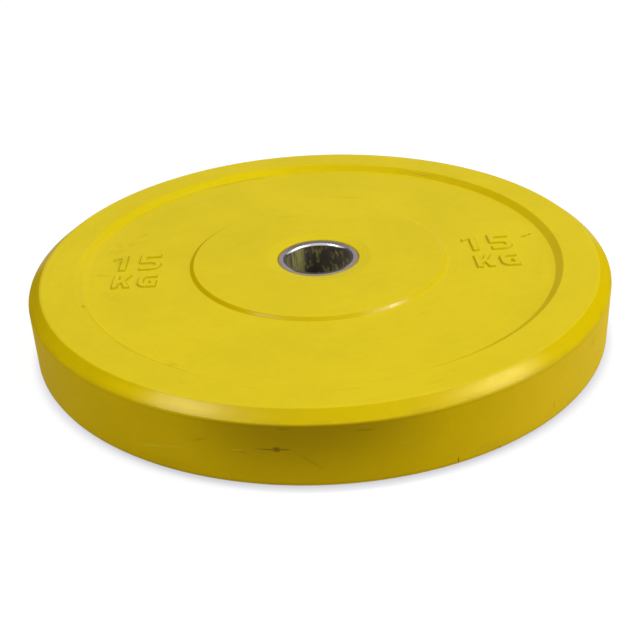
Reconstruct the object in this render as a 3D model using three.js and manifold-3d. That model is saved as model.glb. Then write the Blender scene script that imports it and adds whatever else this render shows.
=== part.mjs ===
import * as THREE from 'three';
import { mergeVertices } from 'three/addons/utils/BufferGeometryUtils.js';
import Module from 'manifold-3d';

// Solid rubber bumper plate, in millimetres.
// It lies flat on one face, +Z up, with the origin in the middle of the plane that it rests on.
// Both faces are alike, so every height above the middle has its twin below.

// Rubber body, outside
const plateDiameter = 450;
const plateThickness = 60;
const edgeChamferWidth = 9;
const edgeChamferHeight = 7;
const edgeChamferRounding = 3;

// Raised flat rim and the recessed ring inside it
const rimInnerDiameter = 378;
const rimStepWidth = 5.6;
const recessDepth = 4;
const rimStepRounding = 1.2;

// Hub disc, which stands up from the recessed ring with a soft shoulder and dips to the bush
const hubFootDiameter = 202.6;
const hubSideWidth = 3;
const hubHeight = 2.2;
const hubRounding = 2.4;
const dishDiameter = 84;
const dishRounding = 9;

// Steel bush that the bar passes through
const boreDiameter = 50.4;
const bushWall = 6.8;
const bushLength = 53;
const boreMouthRounding = 2;
const bushOuterChamfer = 0.6;

// Steel ring plate welded round the bush, which holds it in the rubber.
// The margin is the steel left between each hole and the weld or the outer edge.
const anchorDiameter = 120;
const anchorThickness = 5;
const anchorHoleCount = 8;
const anchorHoleMargin = 5;

// Fillet weld between the ring plate and the bush, one bead on each side
const weldLeg = 4;
const weldCrown = 0.7;

// Clearance between pieces that touch on the real plate, and how far a cut runs past its wall
const bondGap = 0.3;
const cutOverrun = 1;

// Facets
const bodySegments = 80;
const steelSegments = 60;
const holeSegments = 18;
const largeRoundingSteps = 3;
const smallRoundingSteps = 2;
const crownSteps = 3;
const largestRoundingShare = 0.48;

// Heights and radii that follow from the sizes above
const middleZ = plateThickness / 2;
const bushTopZ = middleZ + bushLength / 2;
const recessZ = plateThickness - recessDepth;
const hubZ = recessZ + hubHeight;
const bushRadius = boreDiameter / 2 + bushWall;
const bondRadius = bushRadius + bondGap;
const anchorRadius = anchorDiameter / 2;
const anchorTopZ = middleZ + anchorThickness / 2;
const weldFootZ = anchorTopZ + bondGap;
const weldFootRadius = bondRadius + weldLeg;
const anchorHoleDiameter = anchorRadius - weldFootRadius - 2 * anchorHoleMargin;
const anchorHoleCircleRadius = (anchorRadius + weldFootRadius) / 2;

const yellowRubber = new THREE.MeshStandardMaterial({ color: '#dcc823', roughness: 0.55, metalness: 0 });
const turnedSteel = new THREE.MeshStandardMaterial({ color: '#a6a3a6', roughness: 0.28, metalness: 1 });
const rawSteel = new THREE.MeshStandardMaterial({ color: '#6d6a66', roughness: 0.6, metalness: 0.9 });
const weldMetal = new THREE.MeshStandardMaterial({ color: '#57534f', roughness: 0.7, metalness: 0.9 });

const wasm = await Module();
wasm.setup();

// A corner of an outline: radius, height, rounding and the number of steps in that rounding
function corner(radius, height, rounding = 0, steps = smallRoundingSteps) {
  return { point: new THREE.Vector2(radius, height), rounding, steps };
}

// Points of the arc that rounds one corner between its two neighbours
function roundCorner(before, here, after) {
  if (here.rounding === 0) {
    return [here.point];
  }
  const back = before.point.clone().sub(here.point);
  const ahead = after.point.clone().sub(here.point);
  const halfAngle = Math.acos(back.dot(ahead) / (back.length() * ahead.length())) / 2;
  const room = Math.min(back.length(), ahead.length()) * largestRoundingShare;
  const reach = Math.min(here.rounding / Math.tan(halfAngle), room);
  const radius = reach * Math.tan(halfAngle);
  const bisector = back.clone().normalize().add(ahead.clone().normalize()).normalize();
  const centre = here.point.clone().addScaledVector(bisector, radius / Math.sin(halfAngle));
  const start = here.point.clone().addScaledVector(back.normalize(), reach).sub(centre);
  const end = here.point.clone().addScaledVector(ahead.normalize(), reach).sub(centre);
  const sweep = Math.atan2(start.cross(end), start.dot(end));
  const arc = [];
  for (let step = 0; step <= here.steps; step += 1) {
    const angle = (sweep * step) / here.steps;
    arc.push(start.clone().rotateAround(new THREE.Vector2(), angle).add(centre));
  }
  return arc;
}

// Closed outline with its corners rounded, listed anticlockwise with the radius to the right
function roundOutline(corners) {
  const count = corners.length;
  const points = corners.flatMap((here, index) =>
    roundCorner(corners[(index + count - 1) % count], here, corners[(index + 1) % count]));
  points.push(points[0].clone());
  return points;
}

// The same corners below the middle of the plate, in the opposite order
function mirrorBelow(corners) {
  return corners
    .map(({ point, rounding, steps }) => corner(point.x, 2 * middleZ - point.y, rounding, steps))
    .reverse();
}

// Both halves of a piece that is the same above and below
function symmetricOutline(upperCorners) {
  return roundOutline([...mirrorBelow(upperCorners), ...upperCorners]);
}

function revolve(outline, segments) {
  return new THREE.LatheGeometry(outline, segments).rotateX(Math.PI / 2);
}

function toSolid(geometry) {
  const bare = geometry.clone();
  bare.deleteAttribute('normal');
  bare.deleteAttribute('uv');
  const merged = mergeVertices(bare);
  return new wasm.Manifold(new wasm.Mesh({
    numProp: 3,
    vertProperties: new Float32Array(merged.attributes.position.array),
    triVerts: new Uint32Array(merged.index.array),
  }));
}

function toGeometry(solid) {
  const { numProp, vertProperties, triVerts } = solid.getMesh();
  const geometry = new THREE.BufferGeometry();
  geometry.setAttribute('position', new THREE.BufferAttribute(vertProperties, numProp));
  geometry.setIndex(new THREE.BufferAttribute(triVerts, 1));
  geometry.computeVertexNormals();
  return geometry;
}

// Upright round bars on the anchor's hole circle: drills for the holes, or the rubber that fills them
function barsOnHoleCircle(diameter) {
  const height = anchorThickness + 2 * (bondGap + cutOverrun);
  const bars = [];
  for (let index = 0; index < anchorHoleCount; index += 1) {
    const angle = (2 * Math.PI * index) / anchorHoleCount;
    const bar = new THREE.CylinderGeometry(diameter / 2, diameter / 2, height, holeSegments);
    bar.rotateX(Math.PI / 2);
    bar.translate(anchorHoleCircleRadius, 0, middleZ);
    bar.rotateZ(angle);
    bars.push(toSolid(bar));
  }
  return bars.reduce((all, bar) => all.add(bar));
}

// Moulded rubber without the room for the steel
function rubberBlank() {
  const outerRadius = plateDiameter / 2;
  const rimRadius = rimInnerDiameter / 2;
  const hubRadius = hubFootDiameter / 2;
  const outline = symmetricOutline([
    corner(outerRadius, plateThickness - edgeChamferHeight, edgeChamferRounding, largeRoundingSteps),
    corner(outerRadius - edgeChamferWidth, plateThickness, edgeChamferRounding, largeRoundingSteps),
    corner(rimRadius, plateThickness, rimStepRounding),
    corner(rimRadius - rimStepWidth, recessZ, rimStepRounding),
    corner(hubRadius, recessZ, hubRounding, largeRoundingSteps),
    corner(hubRadius - hubSideWidth, hubZ, hubRounding, largeRoundingSteps),
    corner(dishDiameter / 2, hubZ, dishRounding, largeRoundingSteps),
    corner(bondRadius, bushTopZ),
  ]);
  return toSolid(revolve(outline, bodySegments));
}

// Room that the anchor and its welds take up in the rubber, open to the bush at its inner side
function anchorRoom() {
  const innerRadius = bondRadius - cutOverrun;
  const roomTopZ = anchorTopZ + bondGap;
  const weldReach = weldLeg + bondGap + weldCrown;
  const outline = symmetricOutline([
    corner(anchorRadius + bondGap, roomTopZ),
    corner(bondRadius + weldReach, roomTopZ),
    corner(bondRadius, roomTopZ + weldReach),
    corner(innerRadius, roomTopZ + weldReach),
  ]);
  const room = toSolid(revolve(outline, steelSegments));
  const posts = barsOnHoleCircle(anchorHoleDiameter - 2 * bondGap);
  return room.subtract(posts);
}

function rubberBody() {
  return toGeometry(rubberBlank().subtract(anchorRoom()));
}

// Turned sleeve with rounded mouths and flat end rings
function bushSleeve() {
  const outline = symmetricOutline([
    corner(bushRadius, bushTopZ - bushOuterChamfer),
    corner(bushRadius - bushOuterChamfer, bushTopZ),
    corner(boreDiameter / 2, bushTopZ, boreMouthRounding, largeRoundingSteps + 1),
  ]);
  return revolve(outline, steelSegments);
}

// Ring plate with a circle of holes that the rubber runs through
function anchorFlange() {
  const outline = symmetricOutline([
    corner(anchorRadius, anchorTopZ),
    corner(bondRadius, anchorTopZ),
  ]);
  const plate = toSolid(revolve(outline, steelSegments));
  return toGeometry(plate.subtract(barsOnHoleCircle(anchorHoleDiameter)));
}

// Crowned three-sided bead in the corner above the ring plate
function weldBead() {
  const foot = new THREE.Vector2(weldFootRadius, weldFootZ);
  const head = new THREE.Vector2(bondRadius, weldFootZ + weldLeg);
  const bulge = foot.clone().add(head).multiplyScalar(1 / 2).addScalar(weldCrown);
  const crown = new THREE.QuadraticBezierCurve(foot, bulge, head).getPoints(crownSteps);
  const outline = [new THREE.Vector2(bondRadius, weldFootZ), ...crown];
  outline.push(outline[0].clone());
  return revolve(outline, steelSegments);
}

const group = new THREE.Group();

function addPiece(name, geometry, material) {
  const mesh = new THREE.Mesh(geometry, material);
  mesh.name = name;
  group.add(mesh);
  return mesh;
}

addPiece('rubber_body', rubberBody(), yellowRubber);
addPiece('bush_sleeve', bushSleeve(), turnedSteel);
addPiece('anchor_flange', anchorFlange(), rawSteel);
addPiece('weld_bead_upper', weldBead(), weldMetal);

// The lower bead is the upper one turned over about the middle of the plate
const lowerBead = addPiece('weld_bead_lower', weldBead(), weldMetal);
lowerBead.rotation.x = Math.PI;
lowerBead.position.z = 2 * middleZ;

export default group;
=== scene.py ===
import math
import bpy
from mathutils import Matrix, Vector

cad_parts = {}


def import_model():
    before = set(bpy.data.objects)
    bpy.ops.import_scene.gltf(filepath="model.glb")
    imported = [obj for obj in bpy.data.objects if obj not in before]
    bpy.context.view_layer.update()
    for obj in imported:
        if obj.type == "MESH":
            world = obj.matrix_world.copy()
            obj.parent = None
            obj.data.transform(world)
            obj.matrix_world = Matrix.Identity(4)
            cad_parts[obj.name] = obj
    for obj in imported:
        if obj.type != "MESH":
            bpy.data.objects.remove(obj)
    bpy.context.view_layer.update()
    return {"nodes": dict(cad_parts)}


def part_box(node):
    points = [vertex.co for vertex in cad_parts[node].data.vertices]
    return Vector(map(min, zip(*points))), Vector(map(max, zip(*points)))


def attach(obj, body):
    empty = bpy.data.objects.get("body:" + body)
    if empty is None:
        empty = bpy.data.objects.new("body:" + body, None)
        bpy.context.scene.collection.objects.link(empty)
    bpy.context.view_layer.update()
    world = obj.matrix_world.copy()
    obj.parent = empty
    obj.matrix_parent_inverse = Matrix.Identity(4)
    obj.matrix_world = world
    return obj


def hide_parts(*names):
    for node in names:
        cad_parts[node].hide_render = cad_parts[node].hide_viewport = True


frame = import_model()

from types import SimpleNamespace

import bpy
import numpy as np
from mathutils import Matrix, Vector, noise

# Sizes in metres. The frame gives those of the plate, the bush and its anchor.
MM = 0.001
body_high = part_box("rubber_body")[1]
bush_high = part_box("bush_sleeve")[1]
anchor_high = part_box("anchor_flange")[1]
PLATE_RADIUS = body_high.x
PLATE_THICKNESS = body_high.z
MIDDLE_Z = PLATE_THICKNESS / 2
BUSH_RADIUS = bush_high.x
BUSH_TOP_Z = bush_high.z
BUSH_HALF_LENGTH = BUSH_TOP_Z - MIDDLE_Z
ANCHOR_RADIUS = anchor_high.x
ANCHOR_TOP_Z = anchor_high.z
BORE_RADIUS = 25.2 * MM
BOND_GAP = 0.3 * MM
BOND_RADIUS = BUSH_RADIUS + BOND_GAP

EDGE_CHAMFER_WIDTH = 9 * MM
EDGE_CHAMFER_HEIGHT = 7 * MM
EDGE_CHAMFER_ROUNDING = 3 * MM
RIM_OUTER_RADIUS = PLATE_RADIUS - EDGE_CHAMFER_WIDTH
RIM_RADIUS = 189 * MM
RIM_STEP_WIDTH = 5.6 * MM
RIM_STEP_ROUNDING = 1.2 * MM
RECESS_Z = PLATE_THICKNESS - 4 * MM
HUB_RADIUS = 101.3 * MM
HUB_SIDE_WIDTH = 3 * MM
HUB_ROUNDING = 2.4 * MM
HUB_Z = RECESS_Z + 2.2 * MM
DISH_RADIUS = 42 * MM
DISH_ROUNDING = 9 * MM
BORE_MOUTH_ROUNDING = 2 * MM
BUSH_OUTER_CHAMFER = 0.6 * MM
WELD_LEG = 4 * MM
WELD_CROWN = 0.7 * MM
ANCHOR_HOLE_COUNT = 8
ANCHOR_HOLE_MARGIN = 5 * MM
POST_OVERLAP = 1 * MM

# Weight mark moulded on both faces: its height above the recess, the width of its soft edge, how far its foot
# is sunk, how far down its closed patches reach, the grid of their mesh and how many cells they reach past
# the outline. A place is the middle of the mark in millimetres and its turn in degrees.
MARK_HEIGHT = 1.45 * MM
MARK_EDGE = 1.15 * MM
MARK_SINK = 0.03 * MM
MARK_DEPTH = 2 * MM
MARK_GRID = 0.33 * MM
MARK_SKIRT_CELLS = 1.5
MARK_PLACES = (((135.9, -1.9), 2.6), ((-143.3, -9.0), 0.0))

# Its characters, in millimetres: strokes and heights, and the left edge of each one in the mark
DIGIT_STROKE = 6.2
LETTER_STROKE = 5.6
DIGIT_HEIGHT = 27.5
LETTER_HEIGHT = 21.4
LINE_GAP = 7.9
ONE_LEFT = 0
FIVE_LEFT = 20.4
K_LEFT = 3.4
G_LEFT = 22.8
MARK_WIDTH = 38.8

# Steps of the fine meshes, and the largest share of a side that the rounding of a corner takes
AROUND_BODY = 360
AROUND_BUSH = 180
AROUND_POST = 24
MOUTH_STEPS = 12
LARGE_STEPS = 8
SMALL_STEPS = 6
FLAT_STEP = 9 * MM
EDGE_LOOP = 0.5 * MM
SHORTEST_RUN = 3 * EDGE_LOOP
LARGEST_REACH = 0.49

# Shallow unevenness of the moulding: heights and lengths of its waves, how far below the top a point still
# counts as on a face, and how far from the bush and the edges it begins
WAVE_HEIGHT = 0.06 * MM
WAVE_LENGTH = 55 * MM
WALL_WAVE_HEIGHT = 0.09 * MM
WALL_WAVE_LENGTH = 38 * MM
FACE_ZONE = 6.4 * MM
ZONE_MARGIN = 1 * MM

# The photograph's camera, worked out from the plate's circles in its 640 by 640 frame
IMAGE_WIDTH = 640
FOCAL_PIXELS = 1089.99
SENSOR_WIDTH = 36
CAMERA_PLACE = Vector((-1.03, -773.21, 436.85)) * MM
CAMERA_ELEVATION = math.radians(29.478)
CAMERA_ROLL = math.radians(2.706)
CAMERA_CLIP_START = 0.01


# Outlines: a corner is radius, height, rounding and steps, listed anticlockwise
def corner(radius, height, rounding=0.0, steps=SMALL_STEPS):
    return radius, height, rounding, steps


def round_corner(before, here, after):
    point = Vector(here[:2])
    rounding, steps = here[2:]
    if rounding == 0:
        return [point]
    back = Vector(before[:2]) - point
    ahead = Vector(after[:2]) - point
    half_angle = back.angle(ahead) / 2
    room = min(back.length, ahead.length) * LARGEST_REACH
    reach = min(rounding / math.tan(half_angle), room)
    radius = reach * math.tan(half_angle)
    centre = point + (back.normalized() + ahead.normalized()).normalized() * radius / math.sin(half_angle)
    start = point + back.normalized() * reach - centre
    end = point + ahead.normalized() * reach - centre
    sweep = math.atan2(start.cross(end), start.dot(end))
    return [centre + Matrix.Rotation(sweep * step / steps, 2) @ start for step in range(steps + 1)]


def straight_run(start, end):
    """Points between two ends: one close to each end, so that the shading stays flat, and some between."""
    length = (end - start).length
    if length < SHORTEST_RUN:
        return []
    count = max(1, round(length / FLAT_STEP))
    along = [EDGE_LOOP] + [length * step / count for step in range(1, count)] + [length - EDGE_LOOP]
    return [start.lerp(end, distance / length) for distance in along]


def round_outline(corners):
    """Closed outline with rounded corners and extra points on its straight stretches."""
    count = len(corners)
    arcs = [round_corner(corners[i - 1], corners[i], corners[(i + 1) % count]) for i in range(count)]
    outline = []
    for index, arc in enumerate(arcs):
        outline += arc
        outline += straight_run(arc[-1], arcs[(index + 1) % count][0])
    return outline


def mirrored(corners):
    return [(radius, 2 * MIDDLE_Z - height, *rest) for radius, height, *rest in reversed(corners)]


def mesh_object(name, vertices, faces, material):
    mesh = bpy.data.meshes.new(name)
    mesh.from_pydata(vertices, [], faces)
    mesh.polygons.foreach_set("use_smooth", [True] * len(mesh.polygons))
    mesh.materials.append(material)
    piece = bpy.data.objects.new(name, mesh)
    bpy.context.scene.collection.objects.link(piece)
    return piece


def revolve(outline, around):
    """Vertices and quads of a closed outline turned about Z."""
    count = len(outline)
    vertices = []
    for step in range(around):
        angle = 2 * math.pi * step / around
        vertices += [(p.x * math.cos(angle), p.x * math.sin(angle), p.y) for p in outline]
    faces = []
    for step in range(around):
        this = step * count
        following = (step + 1) % around * count
        for index in range(count):
            after = (index + 1) % count
            faces.append((this + index, following + index, following + after, this + after))
    return vertices, faces


def face_drop(x, y):
    """How far the shallow unevenness of the moulding takes a face below its full height."""
    return WAVE_HEIGHT * (1 - noise.noise(Vector((x, y, 0)) / WAVE_LENGTH))


def wall_drop(x, y, z):
    """How far the same unevenness takes the wall inside its full radius."""
    return WALL_WAVE_HEIGHT * (1 - noise.noise(Vector((x, y, 2 * z)) / WALL_WAVE_LENGTH))


# Materials
class Nodes:
    """Short way to add and link the nodes of one material."""

    def __init__(self, name):
        self.material = bpy.data.materials.new(name)
        self.material.use_nodes = True
        self.tree = self.material.node_tree
        self.tree.nodes.clear()

    def add(self, kind, inputs=(), **settings):
        node = self.tree.nodes.new(kind)
        for key, value in settings.items():
            setattr(node, key, value)
        for key, value in dict(inputs).items():
            if isinstance(value, bpy.types.NodeSocket):
                self.tree.links.new(value, node.inputs[key])
            else:
                node.inputs[key].default_value = value
        return node

    def position(self):
        """Place on the plate in metres."""
        return self.add("ShaderNodeTexCoord").outputs["Object"]

    def facing(self):
        """How far the surface faces straight up or down: 1 on a level face and 0 on an upright one."""
        normal = self.add("ShaderNodeTexCoord").outputs["Normal"]
        return self.math("ABSOLUTE", self.split(normal)[2])

    def split(self, vector):
        return self.add("ShaderNodeSeparateXYZ", {0: vector}).outputs[:3]

    def radius(self, position):
        """Distance from the bore's axis."""
        x, y = self.split(position)[:2]
        return self.length(self.add("ShaderNodeCombineXYZ", {"X": x, "Y": y}).outputs[0])

    def angle(self, position):
        """Angle round the bore's axis."""
        x, y = self.split(position)[:2]
        return self.math("ARCTAN2", y, x)

    def depth(self, position):
        """Distance from the middle of the thickness."""
        return self.math("ABSOLUTE", self.less(self.split(position)[2], MIDDLE_Z))

    def length(self, vector):
        return self.add("ShaderNodeVectorMath", {0: vector}, operation="LENGTH").outputs["Value"]

    def math(self, operation, first, second=0.0):
        return self.add("ShaderNodeMath", {0: first, 1: second}, operation=operation).outputs[0]

    def times(self, product, *factors):
        for factor in factors:
            product = self.math("MULTIPLY", product, factor)
        return product

    def plus(self, total, *terms):
        for term in terms:
            total = self.math("ADD", total, term)
        return total

    def less(self, value, taken):
        return self.math("SUBTRACT", value, taken)

    def rest(self, share):
        """What a share leaves of 1."""
        return self.less(1.0, share)

    def most(self, largest, *others):
        for other in others:
            largest = self.math("MAXIMUM", largest, other)
        return largest

    def span(self, value, low, high, start=0.0, end=1.0):
        """Smooth step from one value to another."""
        sockets = {"Value": value, "From Min": low, "From Max": high, "To Min": start, "To Max": end}
        return self.add("ShaderNodeMapRange", sockets, interpolation_type="SMOOTHSTEP").outputs["Result"]

    def band(self, value, rise, fall):
        """1 between two soft edges and 0 outside them."""
        return self.times(self.span(value, *rise), self.span(value, *fall, 1.0, 0.0))

    def noise(self, vector, scale, detail, roughness=0.55):
        sockets = {"Vector": vector, "Scale": scale, "Detail": detail, "Roughness": roughness}
        return self.add("ShaderNodeTexNoise", sockets).outputs["Fac"]

    def stretch(self, vector, scale):
        return self.add("ShaderNodeVectorMath", {0: vector, 1: scale}, operation="MULTIPLY").outputs["Vector"]

    def mix(self, factor, first, second, blend_type="MIX"):
        sockets = {0: factor, 6: first, 7: second}
        return self.add("ShaderNodeMix", sockets, data_type="RGBA", blend_type=blend_type).outputs[2]

    def tint(self, factor, colour, shade):
        return self.mix(factor, colour, shade, "MULTIPLY")

    def spot(self, position, mark):
        """A soft mark: its strength in its middle, and 0 outside its ellipsoid."""
        place, size, turn, tilt, strength = mark
        local = self.add("ShaderNodeMapping", {
            "Vector": position,
            "Location": [value * MM for value in place],
            "Rotation": (0, math.radians(tilt), math.radians(turn)),
            "Scale": [value * MM for value in size],
        }, vector_type="TEXTURE").outputs["Vector"]
        return self.span(self.length(local), SPOT_CORE, 1.0, strength, 0.0)

    def spots(self, position, marks):
        """The strongest of several marks."""
        return self.most(*[self.spot(position, mark) for mark in marks])

    def bump(self, height):
        """Normal from a height in millimetres."""
        return self.add("ShaderNodeBump", {"Height": height, "Distance": MM}).outputs["Normal"]

    def finish(self, shader):
        self.add("ShaderNodeOutputMaterial", {"Surface": shader})
        return self.material


# Marks of use, and patches of painted highlight and shade: place, half sizes along, across and up in
# millimetres, turn about Z, tilt, strength. A mark on a face reaches a little above and below it, and one on
# the wall a little to both sides. Its core, which has the full strength, is given as a share of its size.
SPOT_CORE = 0.15
FACE_MARK_Z = 57
FACE_MARK_REACH = 5
WALL_MARK_REACH = 7


def on_face(x, y, length, width, turn, strength):
    return (x, y, FACE_MARK_Z), (length, width, FACE_MARK_REACH), turn, 0, strength


def on_wall(azimuth, height, length, tall, tilt, strength):
    angle = math.radians(azimuth)
    place = (PLATE_RADIUS / MM * math.cos(angle), PLATE_RADIUS / MM * math.sin(angle), height)
    return place, (length, WALL_MARK_REACH, tall), azimuth + 90, tilt, strength


SMUDGES = [
    on_face(-144, 59, 11, 5, 35, 0.75),
    on_face(-155, 8, 9, 13, -10, 0.8),
    on_face(-163, 41, 8, 4, -60, 0.6),
    on_face(-147, 43, 14, 5, 20, 0.65),
    on_face(-170, -13, 12, 4, -8, 0.8),
    on_face(-166, 27, 16, 8, 25, 0.6),
    on_face(-187, 60, 10, 5, 70, 0.55),
    on_face(-155, -50, 16, 8, -40, 0.35),
    on_face(-102, -150, 8, 4, -30, 1.0),
    on_face(-93, -162, 6, 4, -20, 1.0),
    on_face(-164, -128, 8, 5, -50, 0.5),
    on_face(-63, 26, 18, 6, 40, 0.3),
    on_face(-20, 78, 26, 6, 5, 0.35),
    on_face(30, 118, 30, 5, -12, 0.4),
    on_face(74, -96, 12, 4, 35, 0.4),
    on_face(44, -186, 24, 4, 12, 0.5),
    on_face(82, -181, 20, 4, 22, 0.5),
    on_face(166, -40, 22, 8, 70, 0.35),
    on_wall(-32.6, 41, 9, 6, 0, 0.8),
    on_wall(-62, 12, 26, 6, 0, 0.45),
    on_wall(-118, 12, 30, 5, 0, 0.4),
    on_wall(-141, 48, 14, 9, 0, 0.4),
]
SCRATCHES = [
    on_face(-174.6, -66.9, 2.0, 5.0, 0, 0.65),
    on_face(166.4, 22.4, 4.6, 1.4, 18, 1.0),
    on_face(171.4, 25.6, 4.2, 1.2, 48, 1.0),
    on_face(-77, 163, 30, 1.1, 26, 0.55),
    on_face(-52, 172, 18, 1.0, 16, 0.5),
    on_face(98, 158, 20, 0.9, -32, 0.35),
    on_face(18, -196, 26, 0.9, 6, 0.45),
    on_face(70, -193, 16, 0.8, 21, 0.4),
    on_face(-48, -189, 14, 0.9, -14, 0.4),
    on_wall(-99.2, 34.3, 13, 0.9, 0, 0.85),
    on_wall(-98.1, 34.5, 4.0, 3.0, 0, 1.25),
    on_wall(-96.9, 34.6, 6, 1.0, 0, 0.8),
    on_wall(-92.6, 25, 14, 1.3, 38, 0.28),
    on_wall(-103.8, 30.7, 4.5, 0.9, 0, 0.4),
    on_wall(-111, 36, 10, 1.1, -20, 0.35),
    on_wall(-68.2, 9.7, 0.8, 3.6, 0, 0.95),
    on_wall(-59.9, 7.8, 1.1, 2.2, 0, 0.7),
    on_wall(-46.7, 17.9, 0.8, 5.5, 0, 0.55),
    on_wall(-30.5, 25, 0.9, 7, 10, 0.5),
    on_wall(-84, 47, 10, 0.9, 3, 0.5),
    on_wall(-97, 50, 5, 0.8, 0, 0.5),
    on_wall(60, 22, 12, 1.0, 15, 0.7),
    on_wall(118, 38, 1.0, 6, 8, 0.7),
    on_wall(150, 14, 9, 1.1, -10, 0.6),
]
# Rubbed streaks. The last three are painted highlights, paler where the lamps shine on the hub's side and the
# bevel.
RUBBED = [
    on_wall(-118.8, 23.4, 29, 1.6, -12.8, 1.5),
    on_wall(-104.8, 32.2, 8, 1.1, 0, 1.1),
    on_wall(-77.8, 33.5, 9, 1.0, 9, 0.9),
    on_wall(-155, 30, 12, 14, 0, 0.35),
    on_wall(95, 30, 30, 1.4, 6, 0.6),
    on_face(169.6, 21.6, 4, 1.2, 33, 0.5),
    on_face(46, -88.5, 25, 5, 27, 1.0),
    on_face(113, -188, 34, 9, 31, 0.8),
    on_face(-91, -199, 34, 9, -24.6, 0.6),
]
# Painted highlights: stretches of the bevel made paler where the lamps shine on it
PALER = [
    on_face(-106, -193, 76, 16, -29, 0.9),
    on_face(113, -188, 64, 16, 31, 1.0),
]
# Painted shade: the front of the wall is browned towards its upper edge
BROWNED = [
    ((-20, -225, 60), (135, 34, 60), 0, 0, 1.0),
]


def about(size, low, high):
    """Range that lies about a size, by its two ends' distances from it in millimetres."""
    return size + low * MM, size + high * MM


# Rubber. A noise is its features per metre, its detail and, where that is unusual, its roughness. A range is
# where a value begins and ends and, unless the result runs from 0 to 1, what it gives there.
RUBBER_COLOUR = (0.722, 0.560, 0.0015, 1)
CLOUDS = (14.0, 4.0)
CLOUD_TONE = (0.25, 0.75, 0.955, 1.02)
SPECKLE = (700.0, 2.0)
SPECKLE_TONE = (0.2, 0.8, -0.012, 0.012)
BLOTCHES = (120.0, 3.0)
BLOTCH_TONE = (0.3, 0.7, -0.01, 0.01)
LINES = (900.0, 3.0, 0.65)
LINE_DRIFT = 2.5 * MM
LINE_TONE = (0.3, 0.7, -0.012, 0.012)

# Its regions, by radius, by distance from the middle of the thickness, and by how level the surface is. The
# upright wall reaches WALL_HALF from the middle.
WALL_HALF = MIDDLE_Z - EDGE_CHAMFER_HEIGHT
WALL_END = (*about(WALL_HALF, -0.5, 0.5), 1.0, 0.0)
WALL_SKIN = about(PLATE_RADIUS, -3, -1)
BEVEL_FOOT = about(WALL_HALF, -1.5, 0.5)
BEVEL_INSIDE = about(RIM_OUTER_RADIUS, -3, 1)
STEP_INSIDE = about(RIM_RADIUS, -9, -7)
STEP_OUTSIDE = about(RIM_RADIUS, 1, 3)
MARKS_INSIDE = about(HUB_RADIUS, 4.7, 6.7)
MARKS_OUTSIDE = about(RIM_RADIUS, -13, -11)
HUB_SIDE_INSIDE = about(HUB_RADIUS, -6, -5)
HUB_SIDE_OUTSIDE = about(HUB_RADIUS, 1, 2)
HUB_SIDE_LEVEL = (0.92, 0.99)

# Painted sheen: a pale film on the level faces, in place of their reflection. Of the slopes, only most of the
# step and the right of the hub's side have it, which also spares them the painted shade of the slopes.
BLOOM_LEVEL = (0.88, 0.96)
HUB_BLOOM_X = (40 * MM, 85 * MM, 0.0, 0.6)
STEP_BLOOM_X = (-60 * MM, 120 * MM, 1.0, 0.2)
STEP_BLOOM_Y = (-115 * MM, -65 * MM, 0.9, 0.0)
CLEAN_STEP_Y = (20 * MM, 80 * MM)
COVERED_LOSS = 0.8
BLOOM_COLOUR = (0.0, 0.0, 0.0115, 1)

# Painted shade on the slopes without the sheen, on the sides of the mark and on the left of the hub's side;
# painted light on the wall, warmer and lighter but less so at its right; and the painted shade at the top of
# its front
BARE_TINT = (0.91, 0.86, 0.4, 1)
MARK_SIDE_TINT = (0.85, 0.93, 0.9, 1)
HUB_SIDE_TINT = (0.90, 0.88, 0.6, 1)
HUB_TINT_X = (-75 * MM, -45 * MM, 1.0, 0.4)
HUB_TINT_Y = (0.0, 50 * MM, 1.0, 0.1)
AGED_TINT = (1.11, 1.05, 0.5, 1)
AGED_X = (110 * MM, 200 * MM, 1.0, 0.5)
BROWNED_COLOUR = (0.44, 0.29, 0.001, 1)
BROWNED_SHARE = 0.9
# Painted sheen on the right of the wall
DUST_COLOUR = (0.0, 0.0, 0.010, 1)
DUST_X = (60 * MM, 180 * MM)

# Handling: smudges broken up by noise, a veil of the same over all, scratches and specks, and rubbed streaks,
# some of which are painted highlights
BREAKUP = (240.0, 5.0, 0.7)
BREAKUP_RANGE = (0.38, 0.62)
VEIL = (26.0, 5.0, 0.6)
VEIL_RANGE = (0.56, 0.72)
VEIL_STRENGTH = 0.22
SMUDGE_COLOUR = (0.40, 0.30, 0.02, 1)
SMUDGE_SHARE = 0.46
SPECKS = (330.0, 1.0)
SPECK_RANGE = (0.78, 0.84)
SPECK_STRENGTH = 0.4
SCRATCH_COLOUR = (0.14, 0.10, 0.006, 1)
SCRATCH_SHARE = 0.62
RUBBED_RANGE = (0.3, 0.6, 0.4, 1.0)
RUBBED_COLOUR = (0.80, 0.68, 0.04, 1)
RUBBED_SHARE = 0.3

# Bevel: its worn lower edge, painted highlights on its stretches that face the lamps, painted shade on its
# left, and a line of painted shade on the wall under it
EDGE_WEAR = (60.0, 4.0, 0.6)
EDGE_WEAR_RANGE = (0.4, 0.65)
EDGE_RISE = about(WALL_HALF, -1, 0.4)
EDGE_FALL = about(WALL_HALF, 1.2, 2.4)
EDGE_INSIDE = about(PLATE_RADIUS, -4, -2)
EDGE_COLOUR = (0.34, 0.24, 0.02, 1)
EDGE_SHARE = 0.18
PALER_TINT = (1.22, 1.20, 1.5, 1)
BROWNER_TINT = (0.82, 0.79, 0.7, 1)
BROWNER_X = (-218 * MM, -180 * MM, 1.0, 0.0)
UNDER_RISE = about(WALL_HALF, -3, -1.4)
UNDER_FALL = about(WALL_HALF, -1.2, -0.2)
UNDER_INSIDE = about(PLATE_RADIUS, -3, -2)
UNDER_COLOUR = (0.20, 0.14, 0.004, 1)
UNDER_SHARE = 0.12

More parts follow.
